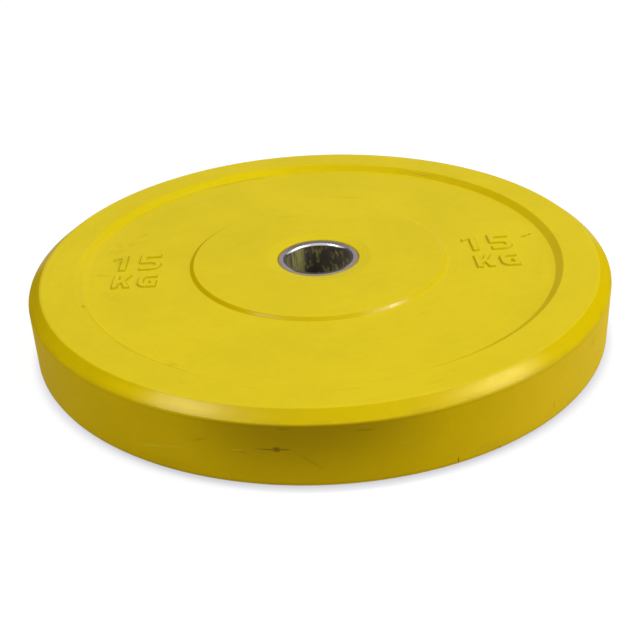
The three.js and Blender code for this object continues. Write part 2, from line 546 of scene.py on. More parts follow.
# Roughness of the rubber, and what each region and mark adds to it or takes from it
DULLNESS = (45.0, 4.0)
DULLNESS_RANGE = (0.3, 0.7, 0.36, 0.46)
SMUDGE_ROUGHER = 0.12
RUBBED_SMOOTHER = 0.06
HUB_SIDE_SMOOTHER = 0.15
WALL_ROUGHER = 0.2
BEVEL_SMOOTHER = (0.3, 0.7, -0.2, -0.1)

# Weight of its gloss, which the bevel and the hub's side have more of and the wall less. Hands have dulled
# both at the left and the right of the front half, which the angle's cosine and sine tell.
FACE_GLOSS = 0.13
WALL_GLOSS_LOSS = 0.06
COAT_ROUGHNESS = 0.27
BEVEL_SHINE = (0.3, 0.7, 0.05, 0.11)
HUB_SHINE_X = (-20 * MM, 40 * MM, 0.1, 0.34)
HANDLED_LEFT = (-0.60, -0.42, 1.0, 0.0)
HANDLED_RIGHT = (0.55, 0.72)
HANDLED_FRONT = (-0.1, 0.1, 1.0, 0.0)
HANDLED_GLOSS = 0.15
HUB_DULLED_X = (-75 * MM, -50 * MM, 0.85, 0.0)
SCRATCH_DULLING = 0.8
SMUDGE_DULLING = 0.04
RUBBED_HUB_SHINE = 0.7

# Its relief in millimetres
WAVES = (32.0, 2.0)
WAVE_RELIEF = (0.2, 0.8, 0.0, 0.10)
GRAIN = (900.0, 2.0)
GRAIN_RELIEF = 0.02
BLOTCH_RELIEF = 0.03
LINE_RELIEF = 0.012
BEVEL_LINE_RELIEF = 0.07
SCRATCH_RELIEF = 0.3


def rubber_regions(nodes):
    """Coordinates on the plate, and masks that are 1 on one region of it and fade to 0 outside."""
    at = SimpleNamespace()
    at.position = nodes.position()
    at.x, at.y, at.z = nodes.split(at.position)
    at.radius = nodes.radius(at.position)
    at.angle = nodes.angle(at.position)
    at.depth = nodes.depth(at.position)
    facing = nodes.facing()
    at.wall = nodes.times(nodes.span(at.depth, *WALL_END), nodes.span(at.radius, *WALL_SKIN))
    at.bevel = nodes.times(nodes.span(at.depth, *BEVEL_FOOT), nodes.span(at.radius, *BEVEL_INSIDE))
    at.step = nodes.band(at.radius, STEP_INSIDE, STEP_OUTSIDE)
    at.marks = nodes.band(at.radius, MARKS_INSIDE, MARKS_OUTSIDE)
    hub_edge = nodes.band(at.radius, HUB_SIDE_INSIDE, HUB_SIDE_OUTSIDE)
    at.hub_side = nodes.times(hub_edge, nodes.rest(nodes.span(facing, *HUB_SIDE_LEVEL)))

    # Painted sheen: the level faces, the right of the hub's side, and the step at its left and front
    level = nodes.math("MINIMUM", nodes.span(facing, *BLOOM_LEVEL), nodes.rest(at.hub_side))
    at.hub_bloom = nodes.times(at.hub_side, nodes.span(at.x, *HUB_BLOOM_X))
    left_or_front = nodes.most(nodes.span(at.x, *STEP_BLOOM_X), nodes.span(at.y, *STEP_BLOOM_Y))
    at.bloom = nodes.most(nodes.plus(level, at.hub_bloom), nodes.times(at.step, left_or_front))
    return at


def add_texture(nodes, at):
    """Blotches, and fine lines that are drawn out round the plate, as on a moulding or a turned face."""
    at.blotches = nodes.noise(at.position, *BLOTCHES)
    at.lines = nodes.noise(nodes.add("ShaderNodeCombineXYZ", {
        "X": nodes.less(at.radius, at.z),
        "Y": nodes.times(nodes.math("COSINE", at.angle), LINE_DRIFT),
        "Z": nodes.times(nodes.math("SINE", at.angle), LINE_DRIFT),
    }).outputs[0], *LINES)


def add_wear(nodes, at):
    """Smudges, scratches and rubbed streaks."""
    breakup = nodes.span(nodes.noise(at.position, *BREAKUP), *BREAKUP_RANGE)
    veil = nodes.times(nodes.span(nodes.noise(at.position, *VEIL), *VEIL_RANGE), breakup)
    smudges = nodes.times(nodes.spots(at.position, SMUDGES), breakup)
    at.smudge = nodes.most(smudges, nodes.times(veil, VEIL_STRENGTH))
    specks = nodes.span(nodes.noise(at.position, *SPECKS), *SPECK_RANGE)
    at.scratch = nodes.most(nodes.spots(at.position, SCRATCHES), nodes.times(specks, SPECK_STRENGTH))
    at.rubbed = nodes.times(nodes.spots(at.position, RUBBED), nodes.span(at.blotches, *RUBBED_RANGE))


def moulded_colour(nodes, at):
    """Colour of the rubber before age and use."""
    clouds = nodes.span(nodes.noise(at.position, *CLOUDS), *CLOUD_TONE)
    speckle = nodes.span(nodes.noise(at.position, *SPECKLE), *SPECKLE_TONE)
    blotches = nodes.span(at.blotches, *BLOTCH_TONE)
    tone = nodes.plus(clouds, speckle, blotches, nodes.span(at.lines, *LINE_TONE))
    grey = nodes.add("ShaderNodeCombineColor", {0: tone, 1: tone, 2: tone}).outputs[0]
    return nodes.tint(1.0, RUBBER_COLOUR, grey)


def aged_colour(nodes, at, colour):
    """Painted shade deepens the slopes without sheen, the sides of the mark and the left of the hub's side;
    painted light warms and lightens the wall, and painted shade browns the top of its front.
    """
    bare = nodes.rest(at.bloom)
    # Painted shade on the slopes, on the sides of the mark and on the left of the hub's side
    colour = nodes.tint(bare, colour, BARE_TINT)
    colour = nodes.tint(nodes.times(at.marks, bare), colour, MARK_SIDE_TINT)
    hub_bare = nodes.less(at.hub_side, at.hub_bloom)
    hub_bare = nodes.times(hub_bare, nodes.span(at.x, *HUB_TINT_X), nodes.span(at.y, *HUB_TINT_Y))
    colour = nodes.tint(hub_bare, colour, HUB_SIDE_TINT)
    # Painted light: the wall is warmer and lighter, less so at its right
    colour = nodes.tint(nodes.times(at.wall, nodes.span(at.x, *AGED_X)), colour, AGED_TINT)
    # Painted shade at the top of the front of the wall
    browned = nodes.times(at.wall, nodes.spots(at.position, BROWNED))
    return nodes.mix(nodes.times(browned, BROWNED_SHARE), colour, BROWNED_COLOUR)


def bevel_colour(nodes, at, colour):
    """Worn lower edge of the bevel, painted highlights on it where the lamps shine, painted shade on its
    left, and a line of painted shade on the wall under it.
    """
    edge = nodes.times(nodes.band(at.depth, EDGE_RISE, EDGE_FALL), nodes.span(at.radius, *EDGE_INSIDE))
    edge = nodes.times(edge, nodes.span(nodes.noise(at.position, *EDGE_WEAR), *EDGE_WEAR_RANGE))
    colour = nodes.mix(nodes.times(edge, EDGE_SHARE), colour, EDGE_COLOUR)
    # Painted highlights on the bevel where the lamps shine on it
    colour = nodes.tint(nodes.times(at.bevel, nodes.spots(at.position, PALER)), colour, PALER_TINT)
    # Painted shade on the left of the bevel
    colour = nodes.tint(nodes.times(at.bevel, nodes.span(at.x, *BROWNER_X)), colour, BROWNER_TINT)
    # A line of painted shade on the wall under the bevel
    under = nodes.times(nodes.band(at.depth, UNDER_RISE, UNDER_FALL), nodes.span(at.radius, *UNDER_INSIDE))
    return nodes.mix(nodes.times(under, UNDER_SHARE), colour, UNDER_COLOUR)


def rubber_colour(nodes, at):
    colour = aged_colour(nodes, at, moulded_colour(nodes, at))
    colour = nodes.mix(nodes.times(at.smudge, SMUDGE_SHARE), colour, SMUDGE_COLOUR)
    # Rubbed streaks, and painted highlights on the hub's side and the bevel
    colour = nodes.mix(nodes.times(at.rubbed, RUBBED_SHARE), colour, RUBBED_COLOUR)
    colour = bevel_colour(nodes, at, colour)
    colour = nodes.mix(nodes.times(at.scratch, SCRATCH_SHARE), colour, SCRATCH_COLOUR)

    # Painted sheen, on the level faces and on the right of the wall, is added last. On the faces it is thin
    # under smudges and scratches and on the back of the step.
    covered = nodes.math("MINIMUM", nodes.most(at.smudge, at.scratch), 1.0)
    covered = nodes.most(covered, nodes.times(at.step, nodes.span(at.y, *CLEAN_STEP_Y)))
    bloom = nodes.times(at.bloom, nodes.rest(nodes.times(covered, COVERED_LOSS)))
    colour = nodes.mix(bloom, colour, BLOOM_COLOUR, "ADD")
    return nodes.mix(nodes.times(at.wall, nodes.span(at.x, *DUST_X)), colour, DUST_COLOUR, "ADD")


def rubber_roughness(nodes, at):
    roughness = nodes.span(nodes.noise(at.position, *DULLNESS), *DULLNESS_RANGE)
    roughness = nodes.plus(roughness, nodes.times(at.smudge, SMUDGE_ROUGHER))
    roughness = nodes.less(roughness, nodes.times(at.rubbed, RUBBED_SMOOTHER))
    roughness = nodes.less(roughness, nodes.times(at.hub_side, HUB_SIDE_SMOOTHER))
    roughness = nodes.plus(roughness, nodes.times(at.wall, WALL_ROUGHER))
    return nodes.plus(roughness, nodes.times(at.bevel, nodes.span(at.lines, *BEVEL_SMOOTHER)))


def rubber_gloss(nodes, at):
    shine = nodes.times(at.bevel, nodes.span(at.lines, *BEVEL_SHINE))
    shine = nodes.plus(shine, nodes.times(at.hub_side, nodes.span(at.x, *HUB_SHINE_X)))
    gloss = nodes.plus(nodes.less(FACE_GLOSS, nodes.times(at.wall, WALL_GLOSS_LOSS)), shine)
    sideways = nodes.math("COSINE", at.angle)
    handled = nodes.most(nodes.span(sideways, *HANDLED_LEFT), nodes.span(sideways, *HANDLED_RIGHT))
    handled = nodes.times(handled, nodes.span(nodes.math("SINE", at.angle), *HANDLED_FRONT),
                          nodes.most(at.bevel, at.hub_side))
    gloss = nodes.times(gloss, nodes.span(handled, 0.0, 1.0, 1.0, HANDLED_GLOSS))
    dulled = nodes.times(at.hub_side, nodes.span(at.x, *HUB_DULLED_X))
    dulled = nodes.most(dulled, nodes.times(at.scratch, SCRATCH_DULLING))
    gloss = nodes.less(nodes.times(gloss, nodes.rest(dulled)), nodes.times(at.smudge, SMUDGE_DULLING))
    return nodes.plus(gloss, nodes.times(at.rubbed, at.hub_side, RUBBED_HUB_SHINE))


def rubber_relief(nodes, at):
    waves = nodes.span(nodes.noise(at.position, *WAVES), *WAVE_RELIEF)
    grain = nodes.times(nodes.noise(at.position, *GRAIN), GRAIN_RELIEF)
    turned = nodes.times(at.lines, nodes.plus(nodes.times(at.bevel, BEVEL_LINE_RELIEF), LINE_RELIEF))
    relief = nodes.plus(waves, grain, nodes.times(at.blotches, BLOTCH_RELIEF), turned)
    return nodes.less(relief, nodes.times(at.scratch, SCRATCH_RELIEF))


def yellow_rubber():
    """Moulded rubber with a thin gloss, marked by use, with painted sheen on its faces, painted shade on its
    slopes and the top of its front wall, painted light on its wall and painted highlights on its bevel and
    hub's side.
    """
    nodes = Nodes("yellow_rubber")
    at = rubber_regions(nodes)
    add_texture(nodes, at)
    add_wear(nodes, at)
    normal = nodes.bump(rubber_relief(nodes, at))
    bsdf = nodes.add("ShaderNodeBsdfPrincipled", {
        "Base Color": rubber_colour(nodes, at),
        "Roughness": rubber_roughness(nodes, at),
        "Specular IOR Level": 0.0,
        "Coat Weight": rubber_gloss(nodes, at),
        "Coat Roughness": COAT_ROUGHNESS,
        "Normal": normal,
        "Coat Normal": normal,
    })
    return nodes.finish(bsdf.outputs["BSDF"])


# Bush. Its noises and ranges are given as the rubber's are, and its depths are from the middle of its length.
END_RING = about(BUSH_HALF_LENGTH, -0.25, -0.05)
BORE_WALL = (*about(BUSH_HALF_LENGTH, -2.2, -1.2), 1.0, 0.0)
MOUTH = (*about(BUSH_HALF_LENGTH, -0.2, -0.02), 1.0, 0.0)
LIP = (*about(BORE_RADIUS, 2.2, 2.8), 1.0, 0.0)
FRONT_LIP = (*about(BORE_RADIUS, 3.4, 4.6), 1.0, 0.0)
FRONT_LIP_Y = (-24 * MM, -16 * MM, 1.0, 0.0)
FLASH = about(BUSH_RADIUS, -2.3, -1.1)

# Painted reflection and shade: the end ring is browner at the front and darker at the back
RING_FRONT_COLOUR = (0.40, 0.32, 0.25, 1)
RING_MIDDLE_COLOUR = (0.26, 0.22, 0.26, 1)
RING_BACK_COLOUR = (0.125, 0.10, 0.10, 1)
RING_FRONT_Y = (-27 * MM, -10 * MM)
RING_BACK_Y = (8 * MM, 24 * MM)
TARNISH = (85.0, 3.0)
TARNISH_RANGE = (0.35, 0.7)
TARNISH_COLOUR = (0.10, 0.08, 0.08, 1)
TARNISH_SHARE = 0.25

# The mouth is polished bright. Its lip is painted dark as shade, at the front too, but for a crescent at the
# back that leans a little and narrows towards its ends.
MOUTH_COLOUR = (0.66, 0.64, 0.62, 1)
MOUTH_SHARE = 0.85
CRESCENT_LEAN = 0.14
CRESCENT_NARROWING = 4.0
CRESCENT_Y = (9.5 * MM, 13 * MM)
LIP_COLOUR = (0.040, 0.031, 0.024, 1)

# The bore holds patches of grime, smears of rubber and, on its left side, streaks of it drawn along by bars
BORE_COLOUR = (0.26, 0.235, 0.225, 1)
PATCHES = (130.0, 4.0, 0.65)
GRIME_RANGE = (0.28, 0.5, 0.55, 1.0)
GRIME_COLOUR = (0.07, 0.052, 0.038, 1)
GRIME_SHARE = 0.85
SMEARS = (330.0, 4.0, 0.6)
SMEAR_STRETCH = (1.0, 1.0, 0.45)
SMEAR_RANGE = (0.46, 0.62)
SMEAR_PATCH_RANGE = (0.44, 0.58)
SMEAR_COLOUR = (0.46, 0.42, 0.11, 1)
SMEAR_SHARE = 0.75
DRAWN = (1300.0, 4.0, 0.6)
DRAWN_STRETCH = (1.0, 1.0, 0.04)
STREAK_SIDE_X = (-13 * MM, -10 * MM, 1.0, 0.0)
STREAK_MORE_X = (-20 * MM, -17 * MM, 0.0, 0.2)
STREAK_RANGE = (0.5, 0.6)
STREAK_COLOUR = (0.50, 0.48, 0.16, 1)
STREAK_SHARE = 0.7

# Brown rubber flash clings to the outer edge
FLASH_COLOUR = (0.27, 0.205, 0.05, 1)
FLASH_SHARE = 0.85

BUSH_DIRT_METAL_LOSS = 0.9
BUSH_ROUGHNESS = (0.0, 1.0, 0.17, 0.30)
BORE_ROUGHER = 0.22
TARNISH_ROUGHER = (0.0, 1.0, -0.03, 0.05)
DIRT_ROUGHER = 0.25
BUSH_SPECULAR = 0.2
BUSH_ANISOTROPY = 0.45
TURNED_PITCH = 0.7 * MM
TURNED_RELIEF = 0.004
DRAWN_RELIEF = 0.02
GRIME_RELIEF = 0.02


def bush_regions(nodes):
    """Coordinates on the bush, masks of its regions, the dirt on it and the painted shade on its lip."""
    at = SimpleNamespace()
    at.position = nodes.position()
    at.x, at.y = nodes.split(at.position)[:2]
    at.radius = nodes.radius(at.position)
    depth = nodes.depth(at.position)
    at.ring = nodes.span(depth, *END_RING)
    at.bore = nodes.span(depth, *BORE_WALL)
    at.mouth = nodes.span(depth, *MOUTH)
    at.flash = nodes.span(at.radius, *FLASH)
    at.drawn = nodes.noise(nodes.stretch(at.position, DRAWN_STRETCH), *DRAWN)
    at.tarnish = nodes.span(nodes.noise(at.position, *TARNISH), *TARNISH_RANGE)

    # Where the lip is painted in shade: all but a crescent at the back, and more at the front
    leaning = nodes.less(at.y, nodes.times(at.x, CRESCENT_LEAN))
    narrowing = nodes.times(nodes.less(BUSH_HALF_LENGTH, depth), CRESCENT_NARROWING)
    crescent = nodes.span(nodes.less(leaning, narrowing), *CRESCENT_Y)
    front_lip = nodes.times(nodes.span(at.radius, *FRONT_LIP), nodes.span(at.y, *FRONT_LIP_Y))
    at.lip = nodes.times(nodes.most(nodes.span(at.radius, *LIP), front_lip), nodes.rest(crescent))

    patches = nodes.noise(at.position, *PATCHES)
    smears = nodes.noise(nodes.stretch(at.position, SMEAR_STRETCH), *SMEARS)
    at.grime = nodes.most(nodes.times(at.bore, nodes.span(patches, *GRIME_RANGE)), at.lip)
    smeared = nodes.times(nodes.span(smears, *SMEAR_RANGE), nodes.span(patches, *SMEAR_PATCH_RANGE))
    at.smears = nodes.times(at.bore, smeared)
    return at


def bush_colour(nodes, at):
    # Painted reflection and shade on the end ring, browner at the front and darker at the back
    colour = nodes.mix(nodes.span(at.y, *RING_FRONT_Y), RING_FRONT_COLOUR, RING_MIDDLE_COLOUR)
    colour = nodes.mix(nodes.span(at.y, *RING_BACK_Y), colour, RING_BACK_COLOUR)
    colour = nodes.mix(nodes.times(at.tarnish, TARNISH_SHARE), colour, TARNISH_COLOUR)
    colour = nodes.mix(nodes.times(at.mouth, MOUTH_SHARE), colour, MOUTH_COLOUR)
    colour = nodes.mix(at.bore, colour, BORE_COLOUR)
    colour = nodes.mix(nodes.times(at.grime, GRIME_SHARE), colour, GRIME_COLOUR)
    colour = nodes.mix(nodes.times(at.smears, SMEAR_SHARE), colour, SMEAR_COLOUR)
    streaks = nodes.span(nodes.plus(at.drawn, nodes.span(at.x, *STREAK_MORE_X)), *STREAK_RANGE)
    streaks = nodes.times(at.bore, nodes.span(at.x, *STREAK_SIDE_X), streaks)
    colour = nodes.mix(nodes.times(streaks, STREAK_SHARE), colour, STREAK_COLOUR)
    # Painted shade on the lip, all but the crescent at the back
    colour = nodes.mix(nodes.times(at.lip, nodes.rest(at.bore)), colour, LIP_COLOUR)
    return nodes.mix(nodes.times(at.flash, FLASH_SHARE), colour, FLASH_COLOUR)


def turned_steel():
    """Bush: turned lines on its end rings, scratches of bars along its bore, dirt on both, and painted
    reflection and shade on its end ring and lip.
    """
    nodes = Nodes("turned_steel")
    at = bush_regions(nodes)
    dirt = nodes.most(at.grime, at.smears, at.flash)
    roughness = nodes.plus(nodes.span(at.ring, *BUSH_ROUGHNESS), nodes.times(at.bore, BORE_ROUGHER))
    roughness = nodes.plus(roughness, nodes.span(at.tarnish, *TARNISH_ROUGHER))
    roughness = nodes.plus(roughness, nodes.times(nodes.most(at.flash, at.grime), DIRT_ROUGHER))
    turned = nodes.math("SINE", nodes.times(at.radius, 2 * math.pi / TURNED_PITCH))
    relief = nodes.times(turned, at.ring, TURNED_RELIEF)
    relief = nodes.plus(relief, nodes.times(at.drawn, at.bore, DRAWN_RELIEF))
    relief = nodes.plus(relief, nodes.times(at.grime, GRIME_RELIEF))
    bsdf = nodes.add("ShaderNodeBsdfPrincipled", {
        "Base Color": bush_colour(nodes, at),
        "Metallic": nodes.rest(nodes.times(dirt, BUSH_DIRT_METAL_LOSS)),
        "Roughness": roughness,
        "Specular IOR Level": BUSH_SPECULAR,
        "Anisotropic": BUSH_ANISOTROPY,
        "Tangent": nodes.add("ShaderNodeTangent", direction_type="RADIAL", axis="Z").outputs[0],
        "Normal": nodes.bump(relief),
    })
    return nodes.finish(bsdf.outputs["BSDF"])


# Anchor and its welds, inside the rubber
SCALE = (70.0, 5.0, 0.65)
SCALE_RANGE = (0.35, 0.65)
SCALE_THICK_COLOUR = (0.10, 0.10, 0.11, 1)
SCALE_THIN_COLOUR = (0.21, 0.19, 0.175, 1)
SCALE_RELIEF = 0.08
SCALE_ROUGHNESS = (0.3, 0.7, 0.48, 0.66)
RUST = (420.0, 4.0, 0.7)
RUST_RANGE = (0.58, 0.68)
RUST_COLOUR = (0.23, 0.09, 0.035, 1)
RUST_SHARE = 0.6
RUST_RELIEF = 0.04
RUST_METALLIC = (0.0, 1.0, 0.9, 0.3)
WELD_WANDER = (160.0, 2.0)
WELD_WANDER_WIDTH = 3.0
WELD_RIPPLE_COUNT = 96.0
WELD_RIPPLE_RELIEF = 0.08
WELD_HEAT = (110.0, 4.0, 0.6)
WELD_HEAT_RANGE = (0.35, 0.65)
WELD_BLUE_COLOUR = (0.075, 0.07, 0.085, 1)
WELD_STRAW_COLOUR = (0.17, 0.14, 0.105, 1)
WELD_HEAT_RELIEF = 0.06
WELD_ROUGHNESS = (0.3, 0.7, 0.42, 0.62)
WELD_METALLIC = 0.9


def raw_steel():
    """Cut plate as rolled: blue-black scale, thin in places, with flecks of rust."""
    nodes = Nodes("raw_steel")
    position = nodes.position()
    scale = nodes.noise(position, *SCALE)
    rust = nodes.span(nodes.noise(position, *RUST), *RUST_RANGE)
    colour = nodes.mix(nodes.span(scale, *SCALE_RANGE), SCALE_THICK_COLOUR, SCALE_THIN_COLOUR)
    bsdf = nodes.add("ShaderNodeBsdfPrincipled", {
        "Base Color": nodes.mix(nodes.times(rust, RUST_SHARE), colour, RUST_COLOUR),
        "Metallic": nodes.span(rust, *RUST_METALLIC),
        "Roughness": nodes.span(scale, *SCALE_ROUGHNESS),
        "Normal": nodes.bump(nodes.plus(nodes.times(scale, SCALE_RELIEF), nodes.times(rust, RUST_RELIEF))),
    })
    return nodes.finish(bsdf.outputs["BSDF"])


def weld_metal():
    """Bead laid down in ripples, darkened by heat."""
    nodes = Nodes("weld_metal")
    position = nodes.position()
    wander = nodes.times(nodes.noise(position, *WELD_WANDER), WELD_WANDER_WIDTH)
    along = nodes.times(nodes.angle(position), WELD_RIPPLE_COUNT)
    ripples = nodes.math("SINE", nodes.plus(along, wander))
    heat = nodes.noise(position, *WELD_HEAT)
    relief = nodes.plus(nodes.times(ripples, WELD_RIPPLE_RELIEF), nodes.times(heat, WELD_HEAT_RELIEF))
    bsdf = nodes.add("ShaderNodeBsdfPrincipled", {
        "Base Color": nodes.mix(nodes.span(heat, *WELD_HEAT_RANGE), WELD_BLUE_COLOUR, WELD_STRAW_COLOUR),
        "Metallic": WELD_METALLIC,
        "Roughness": nodes.span(heat, *WELD_ROUGHNESS),
        "Normal": nodes.bump(relief),
    })
    return nodes.finish(bsdf.outputs["BSDF"])


# Weight mark: outlines of its four characters, anticlockwise, in millimetres from their lower left corner
def arc(centre_x, centre_y, radius, start, end, steps=12):
    angles = [math.radians(start + (end - start) * step / steps) for step in range(steps + 1)]
    return [(centre_x + radius * math.cos(angle), centre_y + radius * math.sin(angle)) for angle in angles]


def digit_one():
    top = DIGIT_HEIGHT
    stem_left = 5.4
    stem_right = stem_left + DIGIT_STROKE
    shoulder = 7.4
    flag_tip = -0.6
    flag_top, flag_foot, flag_root = top - 5.4, top - 10.4, top - 6.6
    return [(stem_left, 0), (stem_right, 0), (stem_right, top), (shoulder, top), (flag_tip, flag_top),
            (flag_tip, flag_foot), (stem_left, flag_root)]


def digit_five():
    top, stroke = DIGIT_HEIGHT, DIGIT_STROKE
    bowl, bowl_x = 8.8, 10
    hook_left = 0.4
    bar_right = 17.6
    outer = arc(bowl_x, bowl, bowl, -90, 90)
    inner = arc(bowl_x, bowl, bowl - stroke, 90, -90)
    return [(hook_left, 0), *outer, (stroke, 2 * bowl), (stroke, top - stroke), (bar_right, top - stroke),
            (bar_right, top), (0, top), (0, 2 * bowl - stroke), *inner, (hook_left, stroke)]


def letter_k():
    top, stroke = LETTER_HEIGHT, LETTER_STROKE
    leg_root, arm_root = 5.8, 13.6
    crotch, waist = (7.2, 7.9), (10.8, 12.2)
    leg_left, leg_right = 9.4, 15.6
    arm_left, arm_right = 9.2, 15.4
    return [(0, 0), (stroke, 0), (stroke, leg_root), crotch, (leg_left, 0), (leg_right, 0), waist,
            (arm_right, top), (arm_left, top), (stroke, arm_root), (stroke, top), (0, top)]


def letter_g():
    top, stroke = LETTER_HEIGHT, LETTER_STROKE
    width, arm_right = 15.6, 15.2
    tongue_left, tongue_foot, tongue_top = 8.8, 7.8, 12
    bend, hollow = 7.4, 2.4
    stem_left = width - stroke
    return [(width, 0), (width, tongue_top), (tongue_left, tongue_top), (tongue_left, tongue_foot),
            (stem_left, tongue_foot), (stem_left, stroke),
            *arc(stroke + hollow, stroke + hollow, hollow, -90, -180, steps=8),
            *arc(stroke + hollow, top - stroke - hollow, hollow, 180, 90, steps=8),
            (arm_right, top - stroke), (arm_right, top),
            *arc(bend, top - bend, bend, 90, 180), *arc(bend, bend, bend, 180, 270)]


def mark_outlines():
    """The four outlines set out as one mark, with its middle at 0, 0."""
    upper_line = LETTER_HEIGHT + LINE_GAP
    placed = [
        (digit_one(), ONE_LEFT, upper_line),
        (digit_five(), FIVE_LEFT, upper_line),
        (letter_k(), K_LEFT, 0),
        (letter_g(), G_LEFT, 0),
    ]
    middle_x, middle_y = MARK_WIDTH / 2, (upper_line + DIGIT_HEIGHT) / 2
    return [[(x + right - middle_x, y + up - middle_y) for x, y in outline] for outline, right, up in placed]


def depth_inside(outline, x, y):
    """Distances of points from an outline, positive inside it."""
    nearest = np.full(x.shape, np.inf)
    inside = np.zeros(x.shape, bool)
    for (x0, y0), (x1, y1) in zip(outline, outline[1:] + outline[:1]):
        along_x, along_y = x1 - x0, y1 - y0
        squared_length = along_x ** 2 + along_y ** 2
        if squared_length == 0:
            continue
        share = np.clip(((x - x0) * along_x + (y - y0) * along_y) / squared_length, 0, 1)
        nearest = np.minimum(nearest, np.hypot(x - x0 - share * along_x, y - y0 - share * along_y))
        if along_y != 0:
            inside ^= ((y0 > y) != (y1 > y)) & (x < x0 + (y - y0) * along_x / along_y)
    return np.where(inside, nearest, -nearest)


def raised_character(outline, middle, turn, side):
    """Closed patch whose top swells softly to the height of the mark inside the outline.

    Its foot lies just under the face of the rubber, and side is 1 on the upper face and -1 on the lower one.
    """
    grid = MARK_GRID / MM
    xs = np.arange(min(x for x, y in outline) - grid, max(x for x, y in outline) + 2 * grid, grid)
    ys = np.arange(min(y for x, y in outline) - grid, max(y for x, y in outline) + 2 * grid, grid)
    x, y = np.meshgrid(xs, ys, indexing="ij")
    inside = depth_inside(outline, x, y)
    share = np.clip(inside * MM / MARK_EDGE, 0, 1)
    rise = MARK_HEIGHT * share * share * (3 - 2 * share) - MARK_SINK
    cosine, sine = math.cos(math.radians(turn)), math.sin(math.radians(turn))
    place_x = (middle[0] + x * cosine - y * sine) * MM
    place_y = (middle[1] + x * sine + y * cosine) * MM
    used = inside > -MARK_SKIRT_CELLS * grid
    cells = used[:-1, :-1] & used[1:, :-1] & used[1:, 1:] & used[:-1, 1:]
    rows, columns = x.shape
    vertices, number = [], {}

    def vertex(i, j, layer):
        key = (i, j, layer)
        if key not in number:
            px, py = place_x[i, j], side * place_y[i, j]
            height = RECESS_Z - MARK_DEPTH
            if layer:
                height = RECESS_Z - face_drop(px, py) + rise[i, j]
            number[key] = len(vertices)
            vertices.append((px, py, MIDDLE_Z + side * (height - MIDDLE_Z)))
        return number[key]

    faces = []

    def add_face(*corners):
        face = [vertex(*key) for key in corners]
        faces.append(face if side > 0 else face[::-1])

    for i in range(rows - 1):
        for j in range(columns - 1):
            if not cells[i, j]:
                continue
            add_face((i, j, 1), (i + 1, j, 1), (i + 1, j + 1, 1), (i, j + 1, 1))
            add_face((i, j + 1, 0), (i + 1, j + 1, 0), (i + 1, j, 0), (i, j, 0))
            if j == 0 or not cells[i, j - 1]:
                add_face((i, j, 0), (i + 1, j, 0), (i + 1, j, 1), (i, j, 1))
            if j == columns - 2 or not cells[i, j + 1]:
                add_face((i + 1, j + 1, 0), (i, j + 1, 0), (i, j + 1, 1), (i + 1, j + 1, 1))
            if i == 0 or not cells[i - 1, j]:
                add_face((i, j + 1, 0), (i, j, 0), (i, j, 1), (i, j + 1, 1))
            if i == rows - 2 or not cells[i + 1, j]:
                add_face((i + 1, j, 0), (i + 1, j + 1, 0), (i + 1, j + 1, 1), (i + 1, j, 1))
    return vertices, faces


def rubber_post(angle, radius, low, high):
    """Upright plug of rubber that fills one hole of the anchor."""
    distance = (ANCHOR_RADIUS + BOND_RADIUS + WELD_LEG) / 2
    centre = Vector((math.cos(angle), math.sin(angle))) * distance
    turns = [2 * math.pi * step / AROUND_POST for step in range(AROUND_POST)]
    ring = [(centre.x + radius * math.cos(turn), centre.y + radius * math.sin(turn)) for turn in turns]
    vertices = [(x, y, low) for x, y in ring] + [(x, y, high) for x, y in ring]
    upper = [AROUND_POST + step for step in range(AROUND_POST)]
    lower = list(range(AROUND_POST))
    sides = zip(lower, lower[1:] + lower[:1], upper[1:] + upper[:1], upper)
    return vertices, [*sides, tuple(reversed(lower)), tuple(upper)]


# Pieces
def body_outline(room_top):
    """Half section of the plate, with the room for the anchor and its welds, which ends at a given height."""
    upper = [
        corner(PLATE_RADIUS, PLATE_THICKNESS - EDGE_CHAMFER_HEIGHT, EDGE_CHAMFER_ROUNDING, LARGE_STEPS),
        corner(RIM_OUTER_RADIUS, PLATE_THICKNESS, EDGE_CHAMFER_ROUNDING, LARGE_STEPS),
        corner(RIM_RADIUS, PLATE_THICKNESS, RIM_STEP_ROUNDING),
        corner(RIM_RADIUS - RIM_STEP_WIDTH, RECESS_Z, RIM_STEP_ROUNDING),
        corner(HUB_RADIUS, RECESS_Z, HUB_ROUNDING),
        corner(HUB_RADIUS - HUB_SIDE_WIDTH, HUB_Z, HUB_ROUNDING),
        corner(DISH_RADIUS, HUB_Z, DISH_ROUNDING, LARGE_STEPS),
        corner(BOND_RADIUS, BUSH_TOP_Z),
    ]
    weld_reach = WELD_LEG + BOND_GAP + WELD_CROWN
    upper_room = [
        corner(BOND_RADIUS, room_top + weld_reach),
        corner(BOND_RADIUS + weld_reach, room_top),
        corner(ANCHOR_RADIUS + BOND_GAP, room_top),
    ]
    return round_outline([*mirrored(upper), *upper, *upper_room, *mirrored(upper_room)])


def uneven(x, y, z):
    """A point of the body, moved by the unevenness of the moulding."""
    radius = math.hypot(x, y)
    side = 1 if z > MIDDLE_Z else -1
    level = abs(z - MIDDLE_Z) > MIDDLE_Z - FACE_ZONE
    if level and BOND_RADIUS + ZONE_MARGIN < radius < PLATE_RADIUS - ZONE_MARGIN:
        z -= side * face_drop(x, y)
    if radius > RIM_OUTER_RADIUS - ZONE_MARGIN:
        inward = 1 - wall_drop(x, y, z) / radius
        x, y = x * inward, y * inward
    return x, y, z


